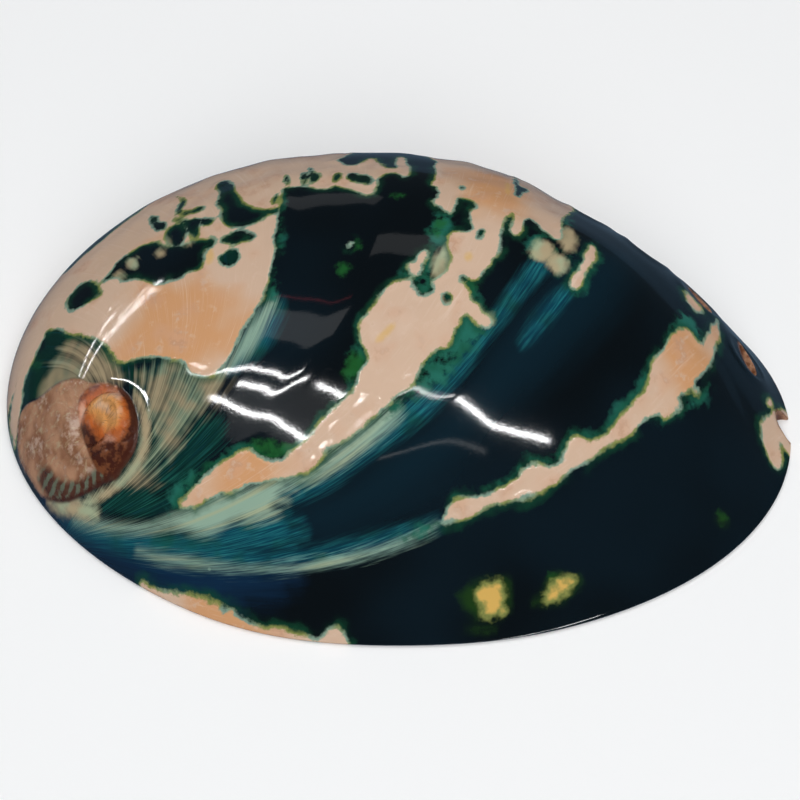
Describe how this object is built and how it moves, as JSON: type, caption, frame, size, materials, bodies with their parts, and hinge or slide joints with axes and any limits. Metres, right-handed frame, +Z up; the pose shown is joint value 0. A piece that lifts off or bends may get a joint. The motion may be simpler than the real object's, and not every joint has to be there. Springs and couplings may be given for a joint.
{
  "type": "abalone shell",
  "caption": "Polished abalone shell: low domed body whorl, small coiled spire, row of breathing holes on a ridge, open bowl underneath with a flat inner ledge.",
  "frame": {"origin": "middle of the shell's box, on the surface that the rim rests on", "axes": "+X along the length towards the growing front end, away from the spire; -Y towards the side of the inner ledge; +Z up through the dome"},
  "size_m": [0.0949, 0.0638, 0.0272],
  "materials": {
    "shell": "polished dark blue-green shell with cream and green bands, amber spire and pearly inside"
  },
  "bodies": {
    "root": {"shell": "shell"}
  },
  "joints": []
}
